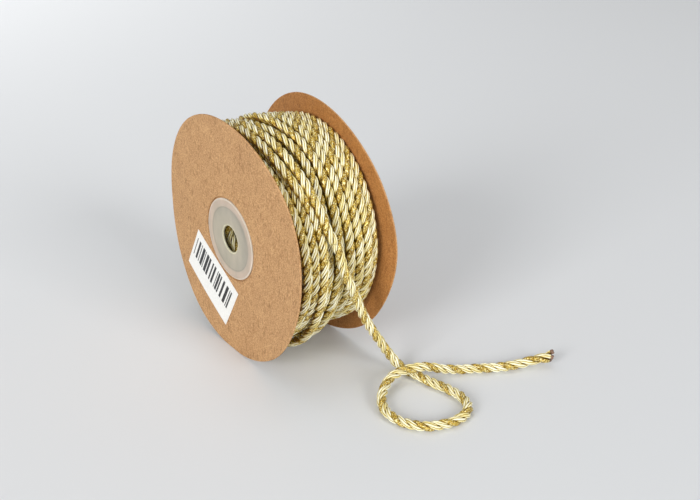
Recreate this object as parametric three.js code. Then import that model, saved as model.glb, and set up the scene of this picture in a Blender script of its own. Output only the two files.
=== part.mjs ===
// A reel of twisted cord standing on the rims of its two card flanges.
// Millimetres, +Z up. The origin is on the ground under the middle of the reel,
// +X runs along the reel's axis from the labelled front flange to the back one,
// and the cord's loose end comes off on the -Y side.
import * as THREE from 'three';

// Driving sizes of the reel
const FLANGE_RADIUS = 37.5;
const REEL_WIDTH = 32;
const CARD = 0.6;
const FLAT_DEPTH = 0.35;
const GAP = 0.3;

// Driving sizes of the hub washer pressed into the middle of each flange
const WASHER_RADIUS = 12.5;
const WASHER = 0.6;
const BORE_RADIUS = 4.1;
const SEAT_DEPTH = 0.6;
const SEAT_STEP = 0.25;
const COLLAR_OUTER = 9.3;
const COLLAR_INNER = 8.3;
const COLLAR_REACH = 1.9;

// Driving sizes of the sticker on the front flange
const LABEL_LENGTH = 26;
const LABEL_HEIGHT = 16;
const LABEL = 0.2;
const LABEL_Y = 11.7;
const LABEL_DROP = 17.6;
const LABEL_TILT = THREE.MathUtils.degToRad(28.9);

// Driving sizes of the cord and of the winding it makes
const CORD_RADIUS = 1.5;
const WINDING_HALF_WIDTH = 14.1;
const WINDING_BORE = 5.6;
const UNDER_LAYER_RADIUS = 30;
const LEAVE_ANGLE = 15;
const LEAVE_FACE = 0.7;
const ANGLE_TOLERANCE = 1e-6;

// How far the rim of each card is bowed along the axis, at twelve even steps
// round it, from -Y up towards +Z and on.
const FRONT_BOW = [-0.45, 0.25, -0.75, -1.4, -0.8, 0.45, 1.25, 0.3, -0.85, -0.85, -0.95, -1.35];
const BACK_BOW = [1.2, 0.2, -1.0, -0.95, 0.3, 1.1, 1.3, 0.6, -0.5, -0.9, 0, -0.1];

const AXIS_HEIGHT = FLANGE_RADIUS - FLAT_DEPTH;
const CARD_HOLE = COLLAR_OUTER + GAP;
const CARD_FACE = REEL_WIDTH / 2;

// The last twelve turns of the winding, in the order they were wound, from the
// back flange to the front one and then back over the top. Each row gives a
// turn's place along the axis and its centre's distance from the axis, at the
// angles in STATIONS, which are measured from -Y up towards +Z.
const STATIONS = [100, 60, 20, -20, -60, -150];
const TURNS = [
  { x: [12.8, 13.2, 13.1, 13.0, 12.2, 11.5], radius: [31.0, 31.6, 31.3, 31.0, 31.3, 31.3] },
  { x: [10.0, 10.5, 10.6, 10.7, 9.6, 8.8], radius: [31.4, 31.9, 31.9, 32.0, 31.3, 31.2] },
  { x: [7.3, 7.8, 7.7, 7.8, 6.9, 5.9], radius: [31.9, 32.0, 31.8, 31.8, 31.0, 31.0] },
  { x: [4.3, 5.0, 4.7, 5.0, 4.9, 3.5], radius: [32.4, 32.1, 31.6, 31.4, 30.5, 30.9] },
  { x: [1.9, 2.9, 2.9, 2.8, 2.2, 0.6], radius: [29.6, 29.4, 29.2, 30.3, 32.1, 31.5] },
  { x: [-0.5, 1.9, 1.5, 0.3, -1.0, -2.4], radius: [33.2, 32.4, 31.4, 31.8, 33.6, 32.0] },
  { x: [-4.2, -1.3, -1.5, -2.2, -2.9, -5.0], radius: [32.0, 32.2, 30.2, 30.8, 31.1, 31.2] },
  { x: [-7.0, -5.9, -3.6, -5.0, -5.9, -7.6], radius: [29.9, 29.9, 29.3, 30.3, 31.4, 31.3] },
  { x: [-9.6, -8.8, -7.4, -7.4, -8.5, -9.9], radius: [30.0, 30.1, 31.3, 31.7, 31.4, 31.3] },
  { x: [-12.6, -11.9, -10.3, -9.9, -11.3, -12.2], radius: [30.1, 30.2, 31.3, 31.6, 31.6, 31.9] },
  { x: [-10.8, -9.6, -5.0, -5.8, -6.2, -8.6], radius: [32.9, 32.9, 32.3, 33.6, 34.8, 33.6] },
  { x: [-7.9, -6.3, -3.7, 0.4, 5.0, 9.0], radius: [32.9, 33.4, 34.6, 34.8, 36.0, 36.0] },
];
// The cord comes up from the layer below beside the back flange.
const LEAD_IN = [
  { turned: -110, x: 12.4, radius: 28.0 },
  { turned: -50, x: 12.6, radius: 29.4 },
];

// The loose end's centre, from the point where it leaves the winding, down to
// the ground, round its loop, over itself and out to the cut end.
const LOOSE_ROUTE = [
  [-2.2, -33.7, 45.4],
  [-1.2, -34.4, 42.4],
  [-0.2, -34.8, 37.4],
  [1.4, -35, 33],
  [3.3, -35.2, 28.7],
  [5.7, -35.7, 21.8],
  [8.4, -36.3, 16],
  [11.2, -37, 10.9],
  [13.4, -37.8, 6.9],
  [14.9, -38.8, 4.3],
  [15.9, -40.4, 2.5],
  [16.7, -42.8, 1.65],
  [17.4, -46, 1.55],
  [18, -50, 1.55],
  [19.3, -55.2, 1.55],
  [20.4, -59.4, 1.55],
  [20.6, -63.4, 1.55],
  [19.4, -67.4, 1.55],
  [16, -70.4, 1.55],
  [11.3, -71.1, 1.55],
  [7, -70.2, 1.55],
  [3.3, -68.2, 1.55],
  [0.5, -65, 1.55],
  [-1, -61, 1.55],
  [-1.2, -57, 1.55],
  [-0.1, -53.6, 1.6],
  [1.8, -50.5, 2],
  [4.6, -48.2, 2.9],
  [7.8, -46.6, 3.9],
  [11.4, -46.3, 4.5],
  [15, -47.2, 4.8],
  [18.4, -48.3, 4.7],
  [21.6, -49.1, 3.7],
  [25.2, -50.4, 2.4],
  [29, -52, 1.7],
  [35, -55.4, 1.55],
  [41.3, -59, 1.55],
  [46.4, -60.9, 1.8],
  [51, -62.8, 2.4],
  [55.7, -65.2, 3.2],
];
const LOOSE_STEPS = 76;
const LOOSE_SIDES = 8;

// Fineness of the pieces. A card also bends at the radii in CARD_RINGS.
const DISC_SEGMENTS = 64;
const CARD_RINGS = [20, 26, 32];
const LABEL_COLUMNS = 6;
const LABEL_ROWS = 4;
const WINDING_SEGMENTS = 72;
const WINDING_COLUMNS = 44;

function material(color, roughness, metalness = 0) {
  return new THREE.MeshStandardMaterial({ color, roughness, metalness });
}

// A closed ring about the reel's axis. Each profile point is a distance along
// the axis and a distance from it, in the order that leaves the faces outward.
function axialRing(profile, segments) {
  const points = profile.map(([x, radius]) => new THREE.Vector2(radius, x));
  points.push(points[0].clone());
  const ring = new THREE.LatheGeometry(points, segments);
  ring.rotateZ(-Math.PI / 2);
  return ring;
}

// Moves each vertex of a ring, given as a place along the axis, a distance
// from it and an angle from -Y up towards +Z, then lifts the ring to its axis.
function reshape(ring, move) {
  const position = ring.getAttribute('position');
  for (let i = 0; i < position.count; i += 1) {
    const y = position.getY(i);
    const z = position.getZ(i);
    const from = { x: position.getX(i), radius: Math.hypot(y, z), angle: Math.atan2(z, -y) };
    const to = { ...from, ...move(from) };
    const height = AXIS_HEIGHT + to.radius * Math.sin(to.angle);
    position.setXYZ(i, to.x, -to.radius * Math.cos(to.angle), Math.max(0, height));
  }
  ring.computeVertexNormals();
  return ring;
}

// The cubic from one value to the next that has the given slope at each end.
function cubic(from, to, startSlope, endSlope, t) {
  const rise = to - from;
  const bend = startSlope + endSlope - 2 * rise;
  return from + t * (startSlope + t * (3 * rise - 2 * startSlope - endSlope + t * bend));
}

// How far a card is bowed along the axis: as far as its rim is at that angle,
// and less and less towards its seat, which stays flat.
function bow(rim, radius, angle) {
  const seat = WASHER_RADIUS + GAP;
  const share = Math.max(0, radius ** 2 - seat ** 2) / (FLANGE_RADIUS ** 2 - seat ** 2);
  const place = rim.length * (angle / (2 * Math.PI) + 1);
  const step = Math.floor(place);
  const at = (i) => rim[i % rim.length];
  const slope = (i) => (at(i + 1) - at(i - 1)) / 2;
  return share * cubic(at(step), at(step + 1), slope(step), slope(step + 1), place - step);
}

// A flange is one card disc, pressed in around the washer. side is -1 for the
// front flange and 1 for the back one.
function flange(side) {
  const seatEdge = WASHER_RADIUS + GAP;
  const faceRadii = [seatEdge + SEAT_STEP, ...CARD_RINGS, FLANGE_RADIUS];
  const outer = faceRadii.map((radius) => [CARD_FACE, radius]);
  const inner = faceRadii.map((radius) => [CARD_FACE - CARD, radius]).reverse();
  const seatFace = CARD_FACE - SEAT_DEPTH;
  const profile = [
    [seatFace, CARD_HOLE],
    [seatFace, seatEdge],
    ...outer,
    ...inner,
    [seatFace - CARD, seatEdge],
    [seatFace - CARD, CARD_HOLE],
  ];
  const rim = side > 0 ? BACK_BOW : FRONT_BOW;
  return reshape(sidedRing(profile, side, DISC_SEGMENTS), ({ x, radius, angle }) => ({
    x: x + bow(rim, radius, angle),
  }));
}

// The ring of a profile drawn for the back flange, or of its mirror image.
function sidedRing(profile, side, segments) {
  const sided = profile.map(([x, radius]) => [side * x, radius]);
  return axialRing(side > 0 ? sided.reverse() : sided, segments);
}

// The hub is a washer with a short collar through the card's hole.
function hub(side) {
  const back = CARD_FACE - SEAT_DEPTH + GAP;
  const profile = [
    [back + WASHER, BORE_RADIUS],
    [back + WASHER, WASHER_RADIUS],
    [back, WASHER_RADIUS],
    [back, COLLAR_OUTER],
    [back + WASHER - COLLAR_REACH, COLLAR_OUTER],
    [back + WASHER - COLLAR_REACH, COLLAR_INNER],
    [back, COLLAR_INNER],
    [back, BORE_RADIUS],
  ];
  return reshape(sidedRing(profile, side, DISC_SEGMENTS), () => ({}));
}

// The sticker is a thin sheet that follows the front card's bow.
function label() {
  const sheet = new THREE.BoxGeometry(LABEL, LABEL_LENGTH, LABEL_HEIGHT, 1, LABEL_COLUMNS, LABEL_ROWS);
  sheet.rotateX(LABEL_TILT);
  sheet.translate(-CARD_FACE - GAP - LABEL / 2, LABEL_Y, -LABEL_DROP);
  return reshape(sheet, ({ x, radius, angle }) => ({ x: x + bow(FRONT_BOW, radius, angle) }));
}

// The knots of the last turns' path: degrees turned since the first station,
// place along the axis and distance from it.
function windingKnots() {
  const knots = [...LEAD_IN];
  TURNS.forEach((turn, number) => {
    STATIONS.forEach((angle, i) => {
      const turned = 360 * number + STATIONS[0] - angle;
      knots.push({ turned, x: turn.x[i], radius: turn.radius[i] });
    });
  });
  return knots;
}

// A smooth value between knots: a cubic through them, with each knot's slope
// taken from its two neighbours.
function between(knots, key, turned) {
  const last = knots.length - 1;
  let i = 0;
  while (i < last - 1 && knots[i + 1].turned < turned) i += 1;
  const slope = (k) => {
    const a = knots[Math.max(0, k - 1)];
    const b = knots[Math.min(last, k + 1)];
    return (b[key] - a[key]) / (b.turned - a.turned);
  };
  const span = knots[i + 1].turned - knots[i].turned;
  const t = (turned - knots[i].turned) / span;
  return cubic(knots[i][key], knots[i + 1][key], slope(i) * span, slope(i + 1) * span, t);
}

// The centres of all turns that pass one angle, in degrees.
function turnsAt(knots, degrees) {
  const first = STATIONS[0] - degrees;
  const end = 360 * (TURNS.length - 1) + STATIONS[0] - LEAVE_ANGLE + ANGLE_TOLERANCE;
  const centres = [];
  for (let turned = first - 360; turned <= end; turned += 360) {
    if (turned >= knots[0].turned) {
      centres.push({ x: between(knots, 'x', turned), radius: between(knots, 'radius', turned) });
    }
  }
  return centres;
}

// The outside of the winding at one place: the crest of the highest turn
// there, or the layer below where no turn lies.
function windingRadius(centres, x) {
  return centres.reduce((highest, centre) => {
    const aside = Math.abs(x - centre.x);
    if (aside >= CORD_RADIUS) return highest;
    return Math.max(highest, centre.radius + Math.sqrt(CORD_RADIUS ** 2 - aside ** 2));
  }, UNDER_LAYER_RADIUS);
}

// The whole winding is one ring with its last turns standing out as ridges.
// The ridge of the last turn ends in a steep face where the loose end begins,
// so the row of vertices below that angle is drawn up close to it.
function winding() {
  const profile = [[-WINDING_HALF_WIDTH, WINDING_BORE]];
  for (let column = 0; column <= WINDING_COLUMNS; column += 1) {
    const x = WINDING_HALF_WIDTH * ((2 * column) / WINDING_COLUMNS - 1);
    profile.push([x, UNDER_LAYER_RADIUS]);
  }
  profile.push([WINDING_HALF_WIDTH, WINDING_BORE]);
  const knots = windingKnots();
  const rowStep = 360 / WINDING_SEGMENTS;
  const ring = axialRing(profile, WINDING_SEGMENTS);
  return reshape(ring, ({ x, radius, angle }) => {
    let row = Math.round(THREE.MathUtils.radToDeg(angle) / rowStep) * rowStep;
    if (row === LEAVE_ANGLE - rowStep) row = LEAVE_ANGLE - LEAVE_FACE;
    const turned = THREE.MathUtils.degToRad(row);
    if (radius < UNDER_LAYER_RADIUS - GAP) return { angle: turned };
    const degrees = row > STATIONS[0] ? row - 360 : row;
    return { angle: turned, radius: windingRadius(turnsAt(knots, degrees), x) };
  });
}

// The loose end is one eight-sided tube along its route.
function looseEnd() {
  const route = new THREE.CatmullRomCurve3(LOOSE_ROUTE.map((point) => new THREE.Vector3(...point)));
  const section = new THREE.Shape();
  for (let side = 0; side < LOOSE_SIDES; side += 1) {
    const angle = (2 * Math.PI * (side + 0.5)) / LOOSE_SIDES;
    const corner = [CORD_RADIUS * Math.cos(angle), CORD_RADIUS * Math.sin(angle)];
    if (side === 0) section.moveTo(...corner);
    else section.lineTo(...corner);
  }
  section.closePath();
  return new THREE.ExtrudeGeometry(section, { steps: LOOSE_STEPS, extrudePath: route });
}

const card = material(0xc5996e, 0.85);
const plastic = material(0xc9c0ae, 0.4);
const paper = material(0xf2f2f0, 0.6);
const cord = material(0xdccf94, 0.5, 0.1);

const reel = new THREE.Group();

function add(name, geometry, finish) {
  const mesh = new THREE.Mesh(geometry, finish);
  mesh.name = name;
  reel.add(mesh);
}

add('flange_front', flange(-1), card);
add('flange_back', flange(1), card);
add('hub_front', hub(-1), plastic);
add('hub_back', hub(1), plastic);
add('label', label(), paper);
add('wound_cord', winding(), cord);
add('loose_end', looseEnd(), cord);

export default reel;
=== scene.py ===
import math

import bpy
import numpy as np
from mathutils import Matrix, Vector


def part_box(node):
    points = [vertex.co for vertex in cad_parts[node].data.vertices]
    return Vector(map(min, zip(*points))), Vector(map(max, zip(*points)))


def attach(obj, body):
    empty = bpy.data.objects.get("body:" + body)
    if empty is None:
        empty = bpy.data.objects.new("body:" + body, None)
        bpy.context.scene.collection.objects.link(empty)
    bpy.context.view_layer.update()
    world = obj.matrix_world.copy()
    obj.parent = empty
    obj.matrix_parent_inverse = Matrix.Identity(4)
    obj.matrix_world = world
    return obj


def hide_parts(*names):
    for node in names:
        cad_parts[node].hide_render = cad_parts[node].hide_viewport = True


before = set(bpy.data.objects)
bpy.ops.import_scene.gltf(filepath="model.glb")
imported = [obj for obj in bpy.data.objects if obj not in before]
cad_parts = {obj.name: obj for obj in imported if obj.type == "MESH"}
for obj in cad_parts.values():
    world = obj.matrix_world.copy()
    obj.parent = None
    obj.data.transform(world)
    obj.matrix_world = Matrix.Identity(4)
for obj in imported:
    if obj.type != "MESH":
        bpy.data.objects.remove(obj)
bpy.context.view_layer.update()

bpy.ops.object.select_all(action="DESELECT")


# The camera stands a little above the reel, off the labelled flange's right
# edge, so that the flange shows as an ellipse and the winding beside it.
CAMERA_PLACE = (-0.1642, -0.2607, 0.1848)
CAMERA_TURN = math.radians(36.378)
CAMERA_DROP = math.radians(26.919)
CAMERA_LENS_MM = 58.19

bpy.ops.object.camera_add(
    location=CAMERA_PLACE, rotation=(math.pi / 2 - CAMERA_DROP, 0, -CAMERA_TURN)
)
camera = bpy.context.object
camera.data.lens = CAMERA_LENS_MM
camera.data.clip_start = 0.01
bpy.context.scene.camera = camera


# The cord's route. The last twelve turns climb out of the layer below beside
# the back flange, cross to the front one and come back over the top, and the
# loose end leaves them on the near side, drops to the ground and makes a loop.
FLANGE_RADIUS = 0.0375
AXIS_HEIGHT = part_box("flange_front")[1][2] - FLANGE_RADIUS
CORD_DIAMETER = 0.003
LAY = 0.0078
STEPS_IN_A_LAY = 12
LEAVE_ANGLE = 20
ROUTE_TURN_STEP = 5
POINTS_IN_A_SPAN = 12
MILLIMETRE = 0.001

STATIONS = (100, 60, 20, -20, -60, -150)
TURNS = (
    {"x": (12.8, 13.2, 13.1, 13.0, 12.2, 11.5), "radius": (31.0, 31.6, 31.3, 31.0, 31.3, 31.3)},
    {"x": (10.0, 10.5, 10.6, 10.7, 9.6, 8.8), "radius": (31.4, 31.9, 31.9, 32.0, 31.3, 31.2)},
    {"x": (7.3, 7.8, 7.7, 7.8, 6.9, 5.9), "radius": (31.9, 32.0, 31.8, 31.8, 31.0, 31.0)},
    {"x": (4.3, 5.0, 4.7, 5.0, 4.9, 3.5), "radius": (32.4, 32.1, 31.6, 31.4, 30.5, 30.9)},
    {"x": (1.9, 2.9, 2.9, 2.8, 2.2, 0.6), "radius": (29.6, 29.4, 29.2, 30.3, 32.1, 31.5)},
    {"x": (-0.5, 1.9, 1.5, 0.3, -1.0, -2.4), "radius": (33.2, 32.4, 31.4, 31.8, 33.6, 32.0)},
    {"x": (-4.2, -1.3, -1.5, -2.2, -2.9, -5.0), "radius": (32.0, 32.2, 30.2, 30.8, 31.1, 31.2)},
    {"x": (-7.0, -5.9, -3.6, -5.0, -5.9, -7.6), "radius": (29.9, 29.9, 29.3, 30.3, 31.4, 31.3)},
    {"x": (-9.6, -8.8, -7.4, -7.4, -8.5, -9.9), "radius": (30.0, 30.1, 31.3, 31.7, 31.4, 31.3)},
    {"x": (-12.6, -11.9, -10.3, -9.9, -11.3, -12.2), "radius": (30.1, 30.2, 31.3, 31.6, 31.6, 31.9)},
    {"x": (-10.8, -9.6, -5.0, -5.8, -6.2, -8.6), "radius": (32.9, 32.9, 32.3, 33.6, 34.8, 33.6)},
    {"x": (-7.9, -6.3, -3.7, 0.4, 5.0, 9.0), "radius": (32.9, 33.4, 34.6, 34.8, 36.0, 36.0)},
)
LEAD_IN = ((-110, 12.4, 28.0), (-50, 12.6, 29.4))
LOOSE_ROUTE = (
    (-0.0022, -0.0337, 0.0454),
    (-0.0012, -0.0344, 0.0424),
    (-0.0002, -0.0348, 0.0374),
    (0.0014, -0.035, 0.033),
    (0.0033, -0.0352, 0.0287),
    (0.0057, -0.0357, 0.0218),
    (0.0084, -0.0363, 0.016),
    (0.0112, -0.037, 0.0109),
    (0.0134, -0.0378, 0.0069),
    (0.0149, -0.0388, 0.0043),
    (0.0159, -0.0404, 0.0025),
    (0.0167, -0.0428, 0.00165),
    (0.0174, -0.046, 0.00155),
    (0.018, -0.05, 0.00155),
    (0.0193, -0.0552, 0.00155),
    (0.0204, -0.0594, 0.00155),
    (0.0206, -0.0634, 0.00155),
    (0.0194, -0.0674, 0.00155),
    (0.016, -0.0704, 0.00155),
    (0.0113, -0.0711, 0.00155),
    (0.007, -0.0702, 0.00155),
    (0.0033, -0.0682, 0.00155),
    (0.0005, -0.065, 0.00155),
    (-0.001, -0.061, 0.00155),
    (-0.0012, -0.057, 0.00155),
    (-0.0001, -0.0536, 0.0016),
    (0.0018, -0.0505, 0.002),
    (0.0046, -0.0482, 0.0029),
    (0.0078, -0.0466, 0.0039),
    (0.0114, -0.0463, 0.0045),
    (0.015, -0.0472, 0.0048),
    (0.0184, -0.0483, 0.0047),
    (0.0216, -0.0491, 0.0037),
    (0.0252, -0.0504, 0.0024),
    (0.029, -0.052, 0.0017),
    (0.035, -0.0554, 0.00155),
    (0.0413, -0.059, 0.00155),
    (0.0464, -0.0609, 0.0018),
    (0.051, -0.0628, 0.0024),
    (0.0557, -0.0652, 0.0032),
)


def on_reel(x, radius, degrees):
    """The point at a place along the reel's axis, a distance from it and an angle from -Y upwards."""
    angle = np.radians(degrees)
    return np.stack([x, -radius * np.cos(angle), AXIS_HEIGHT + radius * np.sin(angle)], axis=-1)


def cubic(share, first, rise, start, end):
    """A cubic's value part of the way along a span, from its first value, rise and end slopes."""
    bend = 3 * rise - 2 * start - end
    return first + share * (start + share * (bend + share * (start + end - 2 * rise)))


def smooth_between(knots, values, at):
    """Cubic values between knots, with each knot's slope taken from its two neighbours."""
    slopes = np.gradient(values) / np.gradient(knots)
    i = np.clip(np.searchsorted(knots, at) - 1, 0, len(knots) - 2)
    span = knots[i + 1] - knots[i]
    rise = values[i + 1] - values[i]
    return cubic((at - knots[i]) / span, values[i], rise, slopes[i] * span, slopes[i + 1] * span)


def curve_through(points):
    """Points along the smooth curve through a list of points, whose speed follows their spacing."""
    points = np.asarray(points, float)
    padded = np.vstack([2 * points[0] - points[1], points, 2 * points[-1] - points[-2]])
    steps = np.diff(padded, axis=0)
    gap = np.sqrt(np.linalg.norm(steps, axis=1))[:, None]
    turn = (padded[2:] - padded[:-2]) / (gap[:-1] + gap[1:])
    slope = steps[:-1] / gap[:-1] - turn + steps[1:] / gap[1:]
    share = (np.arange(POINTS_IN_A_SPAN) / POINTS_IN_A_SPAN)[:, None]
    spans = []
    for i in range(len(points) - 1):
        start, end = slope[i] * gap[i + 1], slope[i + 1] * gap[i + 1]
        spans.append(cubic(share, points[i], steps[i + 1], start, end))
    return np.vstack(spans + [points[-1:]])


def lengths_along(points):
    return np.concatenate([[0], np.cumsum(np.linalg.norm(np.diff(points, axis=0), axis=1))])


def evenly_spaced(points, step):
    """The same line with its points a step apart, and each one's distance along it."""
    along = lengths_along(points)
    at = np.linspace(0, along[-1], max(2, round(along[-1] / step) + 1))
    return np.stack([np.interp(at, along, points[:, k]) for k in range(3)], axis=1), at


def winding_points():
    """The last turns' centre line, up to where the loose end's own points begin."""
    rows = list(LEAD_IN)
    for number, turn in enumerate(TURNS):
        for angle, x, radius in zip(STATIONS, turn["x"], turn["radius"]):
            rows.append((360 * number + STATIONS[0] - angle, x, radius))
    knots, x, radius = np.array(rows).T
    last = 360 * (len(TURNS) - 1) + STATIONS[0] - LEAVE_ANGLE
    at = np.arange(knots[0], last + ROUTE_TURN_STEP / 2, ROUTE_TURN_STEP)
    x, radius = (smooth_between(knots, values, at) * MILLIMETRE for values in (x, radius))
    return on_reel(x, radius, STATIONS[0] - at)


wound = winding_points()
whole_route = curve_through(np.vstack([wound, LOOSE_ROUTE]))
loose_from = lengths_along(whole_route)[POINTS_IN_A_SPAN * len(wound)]
cord_line, cord_along = evenly_spaced(whole_route, LAY / STEPS_IN_A_LAY)
loose_start = int(np.searchsorted(cord_along, loose_from))


# The cord: three strands laid together like a rope, two of cream satin yarns
# and one of gold thread. Each strand is a tube whose ridges are its own yarns,
# which are twisted the other way and so lie nearly along the cord.
STRANDS = 3
CORD_TO_STRAND = 2.03
STRAND_RADIUS = CORD_DIAMETER / 2 / CORD_TO_STRAND
STRAND_OFFSET = CORD_DIAMETER / 2 - STRAND_RADIUS
GOLD_STRAND = 2
END_PHASE = 0.71
WOUND_LAYS = {"strand": 0.0084, "yarn": 0.0105}
LOOSE_LAYS = {"strand": LAY, "yarn": 0.0066}
END_LAYS = {"strand": 0.0125, "yarn": 0.0113}
RELAXES_OVER = 0.02
OPENS_OVER = 0.016
CREAM_YARNS = 5
CREAM_DEPTH = 0.26
GOLD_YARNS = 8
GOLD_DEPTH = 0.12
FINE_SIDES = {"cream": 30, "gold": 16}
PLAIN_SIDES = {"cream": 10, "gold": 8}
PHASE_WANDER = {"knot_every": 40, "amount": 0.18}
OFFSET_WANDER = {"knot_every": 9, "amount": 0.03}
RADIUS_WANDER = {"knot_every": 7, "amount": 0.025}
FRAY_LENGTH = 0.006
FRAY = 0.0005
TIP_RINGS = 1
CUT_RINGS = (0, 1, 2)


def smooth_noise(seed, count, knot_every, amount):
    """Slow random wandering about zero, the same each time for one seed."""
    knots = max(4, count // knot_every + 3)
    values = np.random.default_rng(seed).normal(0, amount, knots)
    place = np.linspace(0, knots - 1.001, count)
    return smooth_between(np.arange(knots, dtype=float), values, place)


def unit(vectors):
    return vectors / np.linalg.norm(vectors, axis=1)[:, None]


def carried_frame(line, first_normal):
    """Two sideways directions at each point of a line, which turn as little as possible along it."""
    tangents = unit(np.gradient(line, axis=0))
    normals = np.empty_like(line)
    normal = np.asarray(first_normal, float)
    for i, tangent in enumerate(tangents):
        normal = normal - tangent * (normal @ tangent)
        normal /= np.linalg.norm(normal)
        normals[i] = normal
    return normals, np.cross(tangents, normals)


def tube_rings(centres, outward, radius, sides, yarns, depth, twist):
    """The rings of one strand's skin, ridged for its yarns, and how far out each corner faces."""
    tangents = unit(np.gradient(centres, axis=0))
    across = unit(np.cross(tangents, outward))
    outward = np.cross(across, tangents)
    corner = 2 * math.pi * np.arange(sides) / sides
    ridge = 1 - depth * (1 - np.abs(np.cos(yarns * corner / 2)))
    angle = corner[None, :] + twist[:, None]
    reach = radius[:, None] * ridge[None, :]
    offset = np.cos(angle)[..., None] * outward[:, None] + np.sin(angle)[..., None] * across[:, None]
    return centres[:, None] + reach[..., None] * offset, np.cos(angle)


def add_tubes(name, tubes, materials):
    """One mesh of closed tubes. Each tube is (rings, their marks, distance along, material number)."""
    vertices, all_marks, faces, uvs, numbers = [], [], [], [], []
    first = 0
    for rings, marks, along, number in tubes:
        count, sides = rings.shape[:2]
        round_it = np.arange(sides)
        ring = first + np.arange(count - 1)[:, None] * sides
        after = (round_it + 1) % sides
        quads = (ring + round_it, ring + after, ring + sides + after, ring + sides + round_it)
        faces += np.stack(quads, axis=-1).reshape(-1, 4).tolist()
        u = np.broadcast_to(round_it / sides, (count - 1, sides))
        v = np.broadcast_to(along[:-1, None], (count - 1, sides))
        v_next = np.broadcast_to(along[1:, None], (count - 1, sides))
        u_next = u + 1 / sides
        corners = ((u, v), (u_next, v), (u_next, v_next), (u, v_next))
        uvs.append(np.stack([np.stack(pair, axis=-1) for pair in corners], axis=2).reshape(-1, 2))
        faces += [(first + round_it[::-1]).tolist(), (first + (count - 1) * sides + round_it).tolist()]
        uvs.append(np.zeros((2 * sides, 2)))
        numbers += [number] * ((count - 1) * sides + 2)
        vertices.append(rings.reshape(-1, 3))
        all_marks.append(marks.reshape(-1, 2))
        first += count * sides
    mesh = bpy.data.meshes.new(name)
    mesh.from_pydata(np.vstack(vertices).tolist(), [], faces)
    mesh.uv_layers.new(name="yarn").data.foreach_set("uv", np.vstack(uvs).ravel())
    for mark, values in zip(("outer", "rise"), np.vstack(all_marks).T):
        mesh.attributes.new(mark, "FLOAT", "POINT").data.foreach_set("value", values.copy())
    for material in materials:
        mesh.materials.append(material)
    mesh.polygons.foreach_set("material_index", numbers)
    mesh.polygons.foreach_set("use_smooth", [True] * len(faces))
    mesh.update()
    piece = bpy.data.objects.new(name, mesh)
    bpy.context.scene.collection.objects.link(piece)
    return piece


def from_axis(points):
    return np.hypot(points[..., 1], points[..., 2] - AXIS_HEIGHT)


def twisted_cord(line, along, first_normal, seed, sides, buried, loose_from=None):
    """The rings of each strand of a cord that follows a line.

    Its lay is the wound one, up to the place where its end comes loose, if it has one. Each
    corner has two marks: how far it faces out of the cord, and, as far as the cord is buried
    among other turns, how far it faces out of the reel.
    """
    normals, binormals = carried_frame(line, first_normal)
    count = len(line)
    wander = smooth_noise(seed, count, **PHASE_WANDER)
    opening = np.zeros(count)
    stages = (0,)
    if loose_from is not None:
        stages = (loose_from, loose_from + RELAXES_OVER, along[-1] - OPENS_OVER, along[-1])
        opening = FRAY * np.clip(1 - (along[-1] - along) / FRAY_LENGTH, 0, 1) ** 2
    turns = {}
    for kind in ("strand", "yarn"):
        lays = [stage[kind] for stage in (WOUND_LAYS, LOOSE_LAYS, LOOSE_LAYS, END_LAYS)][: len(stages)]
        turns[kind] = np.cumsum(np.gradient(along) / np.interp(along, stages, lays))
    strands = []
    for number in range(STRANDS):
        turned = turns["strand"] - turns["strand"][-1] + END_PHASE + number / STRANDS
        phase = 2 * math.pi * turned + wander
        outward = np.cos(phase)[:, None] * normals + np.sin(phase)[:, None] * binormals
        offset = STRAND_OFFSET * (1 + smooth_noise(seed + 10 + number, count, **OFFSET_WANDER)) + opening
        radius = STRAND_RADIUS * (1 + smooth_noise(seed + 20 + number, count, **RADIUS_WANDER))
        gold = number == GOLD_STRAND
        side_count = sides["gold" if gold else "cream"]
        yarns, depth = (GOLD_YARNS, GOLD_DEPTH) if gold else (CREAM_YARNS, CREAM_DEPTH)
        twist = number - 2 * math.pi * turns["yarn"]
        centres = line + offset[:, None] * outward
        rings, outer = tube_rings(centres, outward, radius, side_count, yarns, depth, twist)
        height = (from_axis(rings) - from_axis(line)[:, None]) / (CORD_DIAMETER / 2)
        marks = np.stack([outer, 1 - np.reshape(buried, (-1, 1)) * (1 - height)], axis=-1)
        strands.append((rings, marks, along / (2 * math.pi * STRAND_RADIUS), int(gold)))
    return strands


def new_material(name, **constants):
    """A material with a Principled shader and its plain values; colours are linear."""
    material = bpy.data.materials.new(name)
    material.use_nodes = True
    shader = material.node_tree.nodes["Principled BSDF"]
    for socket, value in constants.items():
        shader.inputs[socket.replace("_", " ")].default_value = value
    return material, material.node_tree, shader


def ramp(tree, source, stops):
    """A colour ramp fed by a value."""
    node = tree.nodes.new("ShaderNodeValToRGB")
    elements = node.color_ramp.elements
    while len(elements) < len(stops):
        elements.new(0.5)
    for element, (place, colour) in zip(elements, stops):
        element.position = place
        element.color = (*colour, 1)
    tree.links.new(source, node.inputs["Fac"])
    return node.outputs["Color"]


def math_node(tree, operation, source, amount=None):
    """One Math node on a value, with a second value, plain or linked, where it takes one."""
    node = tree.nodes.new("ShaderNodeMath")
    node.operation = operation
    tree.links.new(source, node.inputs[0])
    if isinstance(amount, bpy.types.NodeSocket):
        tree.links.new(amount, node.inputs[1])
    elif amount is not None:
        node.inputs[1].default_value = amount
    return node.outputs["Value"]


def noise_node(tree, vector, detail):
    node = tree.nodes.new("ShaderNodeTexNoise")
    node.inputs["Scale"].default_value = 1.0
    node.inputs["Detail"].default_value = detail
    tree.links.new(vector, node.inputs["Vector"])
    return node.outputs["Fac"]


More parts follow.
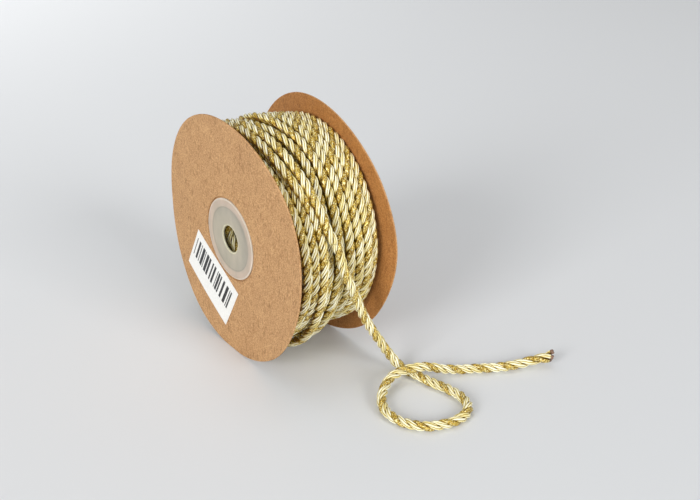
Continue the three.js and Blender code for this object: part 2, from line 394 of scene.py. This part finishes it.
def vector_node(tree, operation, vector, other=None):
    """One Vector Math node, with a plain second vector where it takes one."""
    node = tree.nodes.new("ShaderNodeVectorMath")
    node.operation = operation
    tree.links.new(vector, node.inputs[0])
    if other is not None:
        node.inputs[1].default_value = other
    return node.outputs["Value" if operation == "LENGTH" else "Vector"]


def multiplied(tree, colour, *others):
    """A colour multiplied by each of the others."""
    for other in others:
        node = tree.nodes.new("ShaderNodeMix")
        node.data_type = "RGBA"
        node.blend_type = "MULTIPLY"
        node.inputs["Factor"].default_value = 1.0
        tree.links.new(colour, node.inputs["A"])
        tree.links.new(other, node.inputs["B"])
        colour = node.outputs["Result"]
    return colour


def bumped(tree, shader, height, distance):
    bump = tree.nodes.new("ShaderNodeBump")
    bump.inputs["Distance"].default_value = distance
    tree.links.new(height, bump.inputs["Height"])
    tree.links.new(bump.outputs["Normal"], shader.inputs["Normal"])


def point_mark(tree, name):
    """A value that the mesh carries at its points."""
    node = tree.nodes.new("ShaderNodeAttribute")
    node.attribute_name = name
    return node.outputs["Fac"]


UNTINTED = (1.0, 1.0, 1.0)
# Painted shade: a brown darkening where a wound strand goes down between two turns.
PAINTED_SHADE_BETWEEN_TURNS = ((0.04, (0.34, 0.22, 0.01)), (0.26, (0.88, 0.76, 0.36)), (0.42, UNTINTED))
FILAMENTS = (44, 2.2, 1)
STREAKS = (5, 0.9, 1)
FLAKES = (22, 19, 1)


def yarn_group():
    """A strand's own pattern, shared by its finishes: its yarns, their filaments and its sparkle.

    Outer says how far a place faces out of the cord, and the colour output is painted shade,
    brown, where the strand goes down between two turns of the winding.
    """
    tree = bpy.data.node_groups.new("Strand pattern", "ShaderNodeTree")
    tree.interface.new_socket("Yarns", in_out="INPUT", socket_type="NodeSocketFloat")
    for output in ("Crest", "Outer", "Filament", "Streak", "Sparkle"):
        tree.interface.new_socket(output, in_out="OUTPUT", socket_type="NodeSocketFloat")
    tree.interface.new_socket("Painted gap shade", in_out="OUTPUT", socket_type="NodeSocketColor")
    given, put = tree.nodes.new("NodeGroupInput"), tree.nodes.new("NodeGroupOutput")
    uv_node = tree.nodes.new("ShaderNodeUVMap")
    uv_node.uv_map = "yarn"
    uv = uv_node.outputs["UV"]
    parts = tree.nodes.new("ShaderNodeSeparateXYZ")
    tree.links.new(uv, parts.inputs["Vector"])
    turn = math_node(tree, "MULTIPLY", parts.outputs["X"], math.pi)
    wave = math_node(tree, "COSINE", math_node(tree, "MULTIPLY", turn, given.outputs["Yarns"]))
    flakes = tree.nodes.new("ShaderNodeTexVoronoi")
    flakes.inputs["Scale"].default_value = 1.0
    tree.links.new(vector_node(tree, "MULTIPLY", uv, FLAKES), flakes.inputs["Vector"])
    flake = tree.nodes.new("ShaderNodeSeparateColor")
    tree.links.new(flakes.outputs["Color"], flake.inputs["Color"])
    half_outer = math_node(tree, "MULTIPLY", point_mark(tree, "outer"), 0.5)
    results = {
        "Crest": math_node(tree, "ABSOLUTE", wave),
        "Outer": math_node(tree, "ADD", half_outer, 0.5),
        "Filament": noise_node(tree, vector_node(tree, "MULTIPLY", uv, FILAMENTS), detail=2.5),
        "Streak": noise_node(tree, vector_node(tree, "MULTIPLY", uv, STREAKS), detail=2.0),
        "Sparkle": flake.outputs["Red"],
        "Painted gap shade": ramp(tree, point_mark(tree, "rise"), PAINTED_SHADE_BETWEEN_TURNS),
    }
    for output, source in results.items():
        tree.links.new(source, put.inputs[output])
    return tree


strand_pattern = yarn_group()


def add_pattern(tree, yarns):
    node = tree.nodes.new("ShaderNodeGroup")
    node.node_tree = strand_pattern
    node.inputs["Yarns"].default_value = yarns
    return node.outputs


# The cream yarns' crests run up to near white as a painted highlight, and their valleys down to olive
# brown as painted shade.
SATIN_CREST_HIGHLIGHT_AND_SHADE = (
    (0.0, (0.14, 0.08, 0.0)),
    (0.25, (0.54, 0.42, 0.08)),
    (0.46, (0.94, 0.86, 0.46)),
    (0.78, (1.0, 0.98, 0.77)),
)
SATIN_STREAKS = ((0.38, (0.82, 0.72, 0.38)), (0.58, UNTINTED))
# Painted shade where a cream strand turns in towards the others.
SATIN_FOLD_SHADE = ((0.4, (0.1, 0.05, 0.0)), (0.5, (0.6, 0.44, 0.1)), (0.6, UNTINTED))
SATIN_SHEEN = ((0.5, (0.0, 0.0, 0.0)), (0.68, UNTINTED))
# The gold's flakes differ in tone at random, and the brightest, near white, are painted glints.
GOLD_FLAKES_AND_GLINTS = (
    (0.12, (0.22, 0.11, 0.002)),
    (0.36, (0.57, 0.38, 0.04)),
    (0.7, (0.86, 0.63, 0.12)),
    (0.88, (1.0, 0.94, 0.5)),
)
# Painted shade in the valleys between the gold yarns.
GOLD_VALLEY_SHADE = ((0.0, (0.4, 0.24, 0.08)), (0.45, UNTINTED))
# Painted shade where the gold strand turns in towards the others.
GOLD_FOLD_SHADE = ((0.27, (0.35, 0.22, 0.0)), (0.55, UNTINTED))
SEALED_BROWN = ((0.35, (0.07, 0.035, 0.03)), (0.6, (0.33, 0.2, 0.13)))
YARN_BUMP = 0.0001


def satin_yarn():
    material, tree, shader = new_material(
        "Cream satin yarn", Roughness=0.4, Specular_IOR_Level=0.25, Coat_Roughness=0.2
    )
    pattern = add_pattern(tree, CREAM_YARNS)
    yarn = ramp(tree, pattern["Crest"], SATIN_CREST_HIGHLIGHT_AND_SHADE)
    streaks = ramp(tree, pattern["Streak"], SATIN_STREAKS)
    fold_shade = ramp(tree, pattern["Outer"], SATIN_FOLD_SHADE)
    tree.links.new(ramp(tree, pattern["Outer"], SATIN_SHEEN), shader.inputs["Coat Weight"])
    colour = multiplied(tree, yarn, streaks, fold_shade, pattern["Painted gap shade"])
    tree.links.new(colour, shader.inputs["Base Color"])
    bumped(tree, shader, pattern["Filament"], YARN_BUMP)
    return material


def gold_thread():
    material, tree, shader = new_material("Gold thread", Roughness=0.32, Metallic=0.25)
    pattern = add_pattern(tree, GOLD_YARNS)
    flakes = ramp(tree, pattern["Sparkle"], GOLD_FLAKES_AND_GLINTS)
    valley_shade = ramp(tree, pattern["Crest"], GOLD_VALLEY_SHADE)
    fold_shade = ramp(tree, pattern["Outer"], GOLD_FOLD_SHADE)
    colour = multiplied(tree, flakes, valley_shade, fold_shade, pattern["Painted gap shade"])
    tree.links.new(colour, shader.inputs["Base Color"])
    bumped(tree, shader, pattern["Sparkle"], YARN_BUMP)
    return material


def sealed_tip():
    material, tree, shader = new_material("Sealed tip", Roughness=0.7)
    pattern = add_pattern(tree, CREAM_YARNS)
    tree.links.new(ramp(tree, pattern["Filament"], SEALED_BROWN), shader.inputs["Base Color"])
    return material


cord_materials = (satin_yarn(), gold_thread(), sealed_tip())
TIP_MATERIAL = 2
buried = np.clip((loose_from - cord_along) / CORD_DIAMETER, 0, 1)
strands = twisted_cord(
    cord_line,
    cord_along,
    first_normal=(0, 0.5, -1),
    seed=4,
    sides=FINE_SIDES,
    buried=buried,
    loose_from=loose_from,
)
loose_tubes = []
for cut, (rings, marks, along, number) in zip(CUT_RINGS, strands):
    tip = len(rings) - cut - TIP_RINGS
    lengths = ((slice(loose_start, tip), number), (slice(tip - 1, len(rings) - cut), TIP_MATERIAL))
    for part, kind in lengths:
        loose_tubes.append((rings[part], marks[part], along[part], kind))
loose_end = add_tubes("loose_end_cord", loose_tubes, cord_materials)
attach(loose_end, "root")
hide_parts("loose_end")


# The last turns of the winding, which are the same cord up to the point where
# its end comes loose. They are kept in a few lengths of three turns or so.
WOUND_LENGTHS = 4

cuts = np.linspace(0, loose_start, WOUND_LENGTHS + 1).astype(int)
for number, (first, last) in enumerate(zip(cuts[:-1], cuts[1:])):
    part = slice(first, last + 1)
    tubes = [(rings[part], marks[part], along[part], kind) for rings, marks, along, kind in strands]
    turns = add_tubes(f"outer_turns_{number + 1}", tubes, cord_materials)
    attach(turns, "root")
    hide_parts("wound_cord")


# The layer under the last turns and the innermost turns round the bore are
# plain helices of the same cord. The layer shows in the gaps between the last
# turns, and the innermost turns show through the washer's hole.
TURN_PITCH = 0.00285
HELIX_STEP = 6.0
UNDER_RADIUS = 0.0279
WINDING_REACH = 0.0126
BORE_TURNS_RADIUS = 0.0065
BORE_REACH = 0.0138


def helix_turns(name, radius, reach, slant, seed, steps, buried):
    """Turns side by side from one flange to the other, as one mesh."""
    degrees = np.arange(0, 360 * 2 * reach / TURN_PITCH, HELIX_STEP)
    x = slant * (TURN_PITCH * degrees / 360 - reach)
    line, along = evenly_spaced(on_reel(x, np.full_like(x, radius), degrees), LAY / steps)
    outward = line[0] - (line[0][0], 0, AXIS_HEIGHT)
    tubes = twisted_cord(line, along, outward, seed, PLAIN_SIDES, buried)
    piece = add_tubes(name, tubes, cord_materials)
    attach(piece, "root")
    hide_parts("wound_cord")


helix_turns("under_turns", UNDER_RADIUS, WINDING_REACH, slant=-1, seed=50, steps=8, buried=1)
helix_turns("bore_turns", BORE_TURNS_RADIUS, BORE_REACH, slant=1, seed=70, steps=12, buried=0)


# The turns between those are never seen whole, so they are one ring with a
# ridge for each turn, which closes the winding behind the gaps. It is coloured dark brown as painted
# shade, in place of the cord's cream and gold.
MIDDLE_OUTSIDE = 0.0255
MIDDLE_INSIDE = 0.0095
MIDDLE_STEPS = 64
RIDGE_HEIGHT = 0.4 * CORD_DIAMETER
POINTS_IN_A_RIDGE = 4
SAME_PLACE = 1e-6


def spun_ring(name, outline, steps):
    """A closed outline of (x, radius) points, spun round the reel's axis."""
    bpy.ops.mesh.primitive_circle_add(vertices=len(outline), location=(0, 0, 0))
    piece = bpy.context.object
    piece.name = piece.data.name = name
    for vertex, (x, radius) in zip(piece.data.vertices, outline):
        vertex.co = (x, 0, AXIS_HEIGHT + radius)
    bpy.ops.object.mode_set(mode="EDIT")
    bpy.ops.mesh.select_all(action="SELECT")
    bpy.ops.mesh.spin(steps=steps, angle=2 * math.pi, center=(0, 0, AXIS_HEIGHT), axis=(1, 0, 0))
    bpy.ops.mesh.select_all(action="SELECT")
    bpy.ops.mesh.remove_doubles(threshold=SAME_PLACE)
    bpy.ops.mesh.normals_make_consistent(inside=False)
    bpy.ops.object.mode_set(mode="OBJECT")
    bpy.ops.object.select_all(action="DESELECT")
    return piece


def ridged(radius, outwards):
    """Points along one side of the ring, with a ridge for each turn."""
    count = POINTS_IN_A_RIDGE * round(2 * WINDING_REACH / TURN_PITCH)
    points = []
    for step in range(count + 1):
        x = -WINDING_REACH + 2 * WINDING_REACH * step / count
        rise = abs(math.sin(math.pi * step / POINTS_IN_A_RIDGE))
        points.append((x, radius + outwards * RIDGE_HEIGHT * rise))
    return points


def grain_group():
    """A mottle fixed to the object, shared by all its plain finishes: fine, coarse or drawn out."""
    tree = bpy.data.node_groups.new("Grain", "ShaderNodeTree")
    tree.interface.new_socket("Stretch", in_out="INPUT", socket_type="NodeSocketVector")
    tree.interface.new_socket("Scale", in_out="INPUT", socket_type="NodeSocketFloat")
    tree.interface.new_socket("Detail", in_out="INPUT", socket_type="NodeSocketFloat")
    tree.interface.new_socket("Grain", in_out="OUTPUT", socket_type="NodeSocketFloat")
    given, put = tree.nodes.new("NodeGroupInput"), tree.nodes.new("NodeGroupOutput")
    place = tree.nodes.new("ShaderNodeTexCoord")
    drawn = tree.nodes.new("ShaderNodeVectorMath")
    drawn.operation = "MULTIPLY"
    tree.links.new(place.outputs["Object"], drawn.inputs[0])
    tree.links.new(given.outputs["Stretch"], drawn.inputs[1])
    noise = tree.nodes.new("ShaderNodeTexNoise")
    tree.links.new(drawn.outputs["Vector"], noise.inputs["Vector"])
    tree.links.new(given.outputs["Scale"], noise.inputs["Scale"])
    tree.links.new(given.outputs["Detail"], noise.inputs["Detail"])
    tree.links.new(noise.outputs["Fac"], put.inputs["Grain"])
    return tree


grain_pattern = grain_group()


def add_grain(tree, scale, detail=2.0, stretch=(1, 1, 1)):
    node = tree.nodes.new("ShaderNodeGroup")
    node.node_tree = grain_pattern
    for socket, value in (("Stretch", stretch), ("Scale", scale), ("Detail", detail)):
        node.inputs[socket].default_value = value
    return node.outputs["Grain"]


def grainy(name, roughness, scale, stops, bump=None):
    """A plain finish whose colour wanders between two with a fine grain."""
    material, tree, shader = new_material(name, Roughness=roughness)
    grain = add_grain(tree, scale)
    tree.links.new(ramp(tree, grain, stops), shader.inputs["Base Color"])
    if bump:
        bumped(tree, shader, grain, bump)
    return material


SHADE_PAINTED_CORD = ((0.4, (0.1, 0.07, 0.02)), (0.6, (0.3, 0.24, 0.1)))
shade_painted_cord = grainy("Cord painted in shade", roughness=0.6, scale=1400, stops=SHADE_PAINTED_CORD, bump=0.0003)

outside, inside = ridged(MIDDLE_OUTSIDE, 1), ridged(MIDDLE_INSIDE, -1)
middle_turns = spun_ring("middle_turns", outside + inside[::-1], MIDDLE_STEPS)
middle_turns.data.materials.append(shade_painted_cord)
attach(middle_turns, "root")
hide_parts("wound_cord")


# The flanges: two discs of brown kraft card, die-cut, slightly bowed, and
# pressed in round the hub where the washer is clenched to them.
FRONT_BOW = (-0.45, 0.25, -0.75, -1.4, -0.8, 0.45, 1.25, 0.3, -0.85, -0.85, -0.95, -1.35)
BACK_BOW = (1.2, 0.2, -1.0, -0.95, 0.3, 1.1, 1.3, 0.6, -0.5, -0.9, 0, -0.1)
CARD = 0.0006
CARD_FACE = 0.016
CARD_BEVEL = 0.00012
CARD_RINGS = (0.016, 0.02, 0.024, 0.028, 0.031, 0.034, 0.0365)
SEAT_DEPTH = 0.0006
SEAT_EDGE = 0.0128
SEAT_STEP = 0.00025
CARD_HOLE = 0.0096
RIM_STEPS = 160
CARD_CORNER = 35
CARD_BUMP = 0.00006
CLOUDS = ((0.3, (0.9, 0.88, 0.86)), (0.7, UNTINTED))
FLECKS = ((0.28, (0.72, 0.68, 0.62)), (0.42, UNTINTED))


def bowed(piece, rim):
    """Bows a piece with the card it is on, and keeps it above the ground.

    The rim's offsets are in millimetres at even steps round it, from -Y up towards +Z.
    """
    places = np.empty(3 * len(piece.data.vertices))
    piece.data.vertices.foreach_get("co", places)
    x, y, z = places.reshape(-1, 3).T
    radius = np.hypot(y, z - AXIS_HEIGHT)
    angle = np.degrees(np.arctan2(z - AXIS_HEIGHT, -y))
    share = np.clip(radius**2 - SEAT_EDGE**2, 0, None) / (FLANGE_RADIUS**2 - SEAT_EDGE**2)
    knots = np.arange(-len(rim), 2 * len(rim)) * 360.0 / len(rim)
    offset = smooth_between(knots, np.tile(rim, 3), angle) * MILLIMETRE
    places = np.stack([x + share * offset, y, np.clip(z, 0, None)], axis=1)
    piece.data.vertices.foreach_set("co", places.ravel())
    piece.data.update()


def kraft_card(name, dark, middle, light):
    material, tree, shader = new_material(name, Roughness=0.72)
    fibre = add_grain(tree, scale=2400, detail=4)
    base = ramp(tree, fibre, ((0.3, dark), (0.5, middle), (0.7, light)))
    clouds = ramp(tree, add_grain(tree, scale=170, detail=3), CLOUDS)
    flecks = ramp(tree, add_grain(tree, scale=1300, detail=1, stretch=(1, 1, 0.35)), FLECKS)
    tree.links.new(multiplied(tree, base, clouds, flecks), shader.inputs["Base Color"])
    bumped(tree, shader, fibre, CARD_BUMP)
    return material


# The card's faces that look towards the winding take a darker, more orange copy of the card, as painted
# shade with painted bounce light from the cord.
card_and_shaded_copy = (
    kraft_card("Kraft card outside", (0.38, 0.19, 0.068), (0.54, 0.302, 0.13), (0.7, 0.427, 0.205)),
    kraft_card("Kraft card in painted shade", (0.33, 0.127, 0.027), (0.46, 0.195, 0.048), (0.58, 0.28, 0.085)),
)


def corners_kept(piece, degrees):
    """Shades a piece smooth, but for the corners that are sharper than an angle."""
    piece.select_set(True)
    bpy.context.view_layer.objects.active = piece
    bpy.ops.object.shade_smooth_by_angle(angle=math.radians(degrees))
    piece.select_set(False)


def flange(name, node, side, rim):
    seat = CARD_FACE - SEAT_DEPTH
    radii = [SEAT_EDGE + SEAT_STEP, *CARD_RINGS, FLANGE_RADIUS - CARD_BEVEL]
    outline = [(seat, CARD_HOLE), (seat, SEAT_EDGE)]
    outline += [(CARD_FACE, radius) for radius in radii]
    outline += [(CARD_FACE - CARD_BEVEL, FLANGE_RADIUS), (CARD_FACE - CARD + CARD_BEVEL, FLANGE_RADIUS)]
    outline += [(CARD_FACE - CARD, radius) for radius in radii[::-1]]
    outline += [(seat - CARD, SEAT_EDGE), (seat - CARD, CARD_HOLE)]
    disc = spun_ring(name, [(side * x, radius) for x, radius in outline], RIM_STEPS)
    bowed(disc, rim)
    for face in card_and_shaded_copy:
        disc.data.materials.append(face)
    # Faces looking towards the winding take the copy in painted shade.
    for polygon in disc.data.polygons:
        polygon.material_index = int(side * polygon.normal.x < -0.5)
    corners_kept(disc, CARD_CORNER)
    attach(disc, "root")
    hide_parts(node)


flange("card_front", "flange_front", -1, FRONT_BOW)
flange("card_back", "flange_back", 1, BACK_BOW)


# The hub washers: milky plastic, moulded, each with a raised outer band and a
# short collar that goes through the card, and thin enough to let light through.
WASHER_RADIUS = 0.0125
WASHER = 0.0006
WASHER_BEVEL = 0.00015
WASHER_STEPS = 96
WASHER_CORNER = 40
WASHER_BUMP = 0.00004
BORE_RADIUS = 0.0041
COLLAR_OUTER = 0.0093
COLLAR_INNER = 0.0083
COLLAR_REACH = 0.0019
BAND_EDGE = 0.0099
BAND_RISE = 0.00018
HUB_LIFT = 0.00005
BORE_SHARE = BORE_RADIUS / WASHER_RADIUS
BAND_SHARE = BAND_EDGE / WASHER_RADIUS
# The washer's colour across its face is painted light: pale lines at the bore's edge and the rim are
# painted highlights, the dark line at the band's edge is painted shade, and the greyer inner disc and
# warmer band are painted shade and painted card showing through.
WASHER_PAINTED_LIGHT = (
    (BORE_SHARE + 0.02, (0.9, 0.84, 0.6)),
    (BORE_SHARE + 0.05, (0.64, 0.57, 0.44)),
    (BAND_SHARE - 0.03, (0.59, 0.53, 0.42)),
    (BAND_SHARE - 0.01, (0.47, 0.42, 0.33)),
    (BAND_SHARE + 0.02, (0.74, 0.61, 0.48)),
    (0.95, (0.77, 0.6, 0.47)),
    (0.985, (0.95, 0.84, 0.7)),
)
WASHER_CLOUDS = ((0.3, (0.86, 0.88, 0.87)), (0.65, UNTINTED))


def milky_plastic():
    material, tree, shader = new_material("Milky plastic", Roughness=0.34, Transmission_Weight=0.3)
    place = tree.nodes.new("ShaderNodeTexCoord").outputs["Object"]
    centred = vector_node(tree, "SUBTRACT", place, (0, 0, AXIS_HEIGHT))
    across = vector_node(tree, "LENGTH", vector_node(tree, "MULTIPLY", centred, (0, 1, 1)))
    painted_rings = ramp(tree, math_node(tree, "DIVIDE", across, WASHER_RADIUS), WASHER_PAINTED_LIGHT)
    mottle = add_grain(tree, scale=420, detail=3, stretch=(1, 1, 0.4))
    colour = multiplied(tree, painted_rings, ramp(tree, mottle, WASHER_CLOUDS))
    tree.links.new(colour, shader.inputs["Base Color"])
    bumped(tree, shader, mottle, WASHER_BUMP)
    return material


hub_material = milky_plastic()


def hub(name, node, side):
    back = CARD_FACE - SEAT_DEPTH + HUB_LIFT
    face = back + WASHER
    sunk = face - BAND_RISE
    outline = [
        (sunk - WASHER_BEVEL, BORE_RADIUS),
        (sunk, BORE_RADIUS + WASHER_BEVEL),
        (sunk, BAND_EDGE - WASHER_BEVEL),
        (face, BAND_EDGE + WASHER_BEVEL),
        (face, WASHER_RADIUS - 2 * WASHER_BEVEL),
        (face - WASHER_BEVEL, WASHER_RADIUS),
        (back, WASHER_RADIUS),
        (back, COLLAR_OUTER),
        (face - COLLAR_REACH, COLLAR_OUTER),
        (face - COLLAR_REACH, COLLAR_INNER),
        (back, COLLAR_INNER),
        (back, BORE_RADIUS),
    ]
    washer = spun_ring(name, [(side * x, radius) for x, radius in outline], WASHER_STEPS)
    washer.data.materials.append(hub_material)
    corners_kept(washer, WASHER_CORNER)
    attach(washer, "root")
    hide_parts(node)


hub("washer_front", "hub_front", -1)
hub("washer_back", "hub_back", 1)


# The sticker: smooth white paper on the front card, with a row of plain bars
# of no meaning along its upper half and nothing below them.
LABEL_LENGTH = 0.026
LABEL_HEIGHT = 0.016
LABEL_PAPER = 0.00012
LABEL_LIFT = 0.00002
LABEL_CELLS = (13, 8)
LABEL_Y = 0.0117
LABEL_DROP = 0.0176
LABEL_TILT = math.radians(28.9)
BAR_TOP = 0.0052
BAR_FOOT = -0.0025
BARS_FROM = -0.0118
BARS_TO = 0.011
BAR_WIDTHS = (0.0003, 0.0006, 0.0009, 0.0012)
BAR_CHANCES = (0.3, 0.3, 0.25, 0.15)
BAR_GAPS = (0.0004, 0.0007, 0.0011)
BAR_SEED = 11
INK = 0.00003
WHITE_PAPER = ((0.3, (0.84, 0.835, 0.8)), (0.7, (0.92, 0.915, 0.88)))
BLACK_INK = ((0.3, (0.006, 0.006, 0.008)), (0.7, (0.02, 0.02, 0.024)))


def on_label(piece, lift, thickness):
    """Stands a flat piece, drawn as X along the label and Y up it, on the front card."""
    bpy.context.view_layer.objects.active = piece
    piece.select_set(True)
    solid = piece.modifiers.new("Thickness", "SOLIDIFY")
    solid.thickness = thickness
    solid.offset = 1
    bpy.ops.object.modifier_apply(modifier=solid.name)
    cos, sin = math.cos(LABEL_TILT), math.sin(LABEL_TILT)
    for vertex in piece.data.vertices:
        along, up, out = vertex.co
        y = LABEL_Y - along * cos - up * sin
        z = AXIS_HEIGHT - LABEL_DROP - along * sin + up * cos
        vertex.co = (-CARD_FACE - lift - out, y, z)
    bowed(piece, FRONT_BOW)
    bpy.ops.object.mode_set(mode="EDIT")
    bpy.ops.mesh.select_all(action="SELECT")
    bpy.ops.mesh.normals_make_consistent(inside=False)
    bpy.ops.object.mode_set(mode="OBJECT")
    piece.select_set(False)


bpy.ops.mesh.primitive_grid_add(
    x_subdivisions=LABEL_CELLS[0], y_subdivisions=LABEL_CELLS[1], size=1, location=(0, 0, 0)
)
sticker = bpy.context.object
sticker.name = sticker.data.name = "sticker"
sticker.scale = (LABEL_LENGTH, LABEL_HEIGHT, 1)
bpy.ops.object.transform_apply(location=True, rotation=True, scale=True)
on_label(sticker, LABEL_LIFT, LABEL_PAPER)
paper = grainy("White paper", roughness=0.5, scale=1800, stops=WHITE_PAPER, bump=0.00002)
sticker.data.materials.append(paper)
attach(sticker, "root")
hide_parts("label")

bar_random = np.random.default_rng(BAR_SEED)
place = BARS_FROM
bars = []
while place < BARS_TO:
    width = bar_random.choice(BAR_WIDTHS, p=BAR_CHANCES)
    bpy.ops.mesh.primitive_plane_add(size=1, location=(place + width / 2, (BAR_TOP + BAR_FOOT) / 2, 0))
    bpy.context.object.scale = (width, BAR_TOP - BAR_FOOT, 1)
    bars.append(bpy.context.object)
    place += width + bar_random.choice(BAR_GAPS)
for bar in bars:
    bar.select_set(True)
bpy.ops.object.join()
bpy.ops.object.transform_apply(location=True, rotation=True, scale=True)
bars = bpy.context.object
bars.name = bars.data.name = "sticker_bars"
on_label(bars, LABEL_PAPER + LABEL_LIFT, INK)
bars.data.materials.append(grainy("Black ink", roughness=0.45, scale=2500, stops=BLACK_INK))
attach(bars, "root")


# The studio: a plain pale floor, just under the ground the reel stands on, and
# soft square lamps at both sides, in front, above and low behind the reel.
FLOOR_SIZE = 4
FLOOR_DROP = 0.0001
FLOOR_COLOUR = (0.745, 0.76, 0.775, 1)
SKY_STRENGTH = 0.37
BACK_SPREAD = math.radians(100)
LIGHTS = (
    {"name": "left", "place": (-1.7, -0.6, 0.85), "size": 0.8, "watts": 22.5},
    {"name": "front", "place": (-0.85, -1.45, 0.85), "size": 0.5, "watts": 3.5},
    {"name": "right", "place": (0.2, -1.8, 0.85), "size": 0.8, "watts": 16.5},
    {"name": "top", "place": (0.2, 0.2, 1.9), "size": 0.8, "watts": 3.5},
    {"name": "back", "place": (-0.05, 0.7, 0.6), "size": 0.6, "watts": 1.3},
)

bpy.ops.mesh.primitive_plane_add(size=FLOOR_SIZE, location=(0, 0, -FLOOR_DROP))
floor = bpy.context.object
floor.name = "floor"
pale, tree, shader = new_material("Pale floor", Roughness=0.8, Base_Color=FLOOR_COLOUR)
floor.data.materials.append(pale)

for light in LIGHTS:
    bpy.ops.object.light_add(type="AREA", location=light["place"])
    lamp = bpy.context.object
    lamp.name = light["name"]
    lamp.data.size = light["size"]
    lamp.data.energy = light["watts"]
    if light["name"] == "back":
        lamp.data.spread = BACK_SPREAD
    else:
        towards = -np.array(light["place"])
        turn = math.atan2(-towards[0], towards[1])
        tip = math.acos(-towards[2] / np.linalg.norm(towards))
        lamp.rotation_euler = (tip, 0, turn)

world = bpy.context.scene.world or bpy.data.worlds.new("World")
bpy.context.scene.world = world
world.use_nodes = True
sky = world.node_tree.nodes["Background"]
sky.inputs["Color"].default_value = (1, 1, 1, 1)
sky.inputs["Strength"].default_value = SKY_STRENGTH
bpy.context.scene.view_settings.view_transform = "Standard"
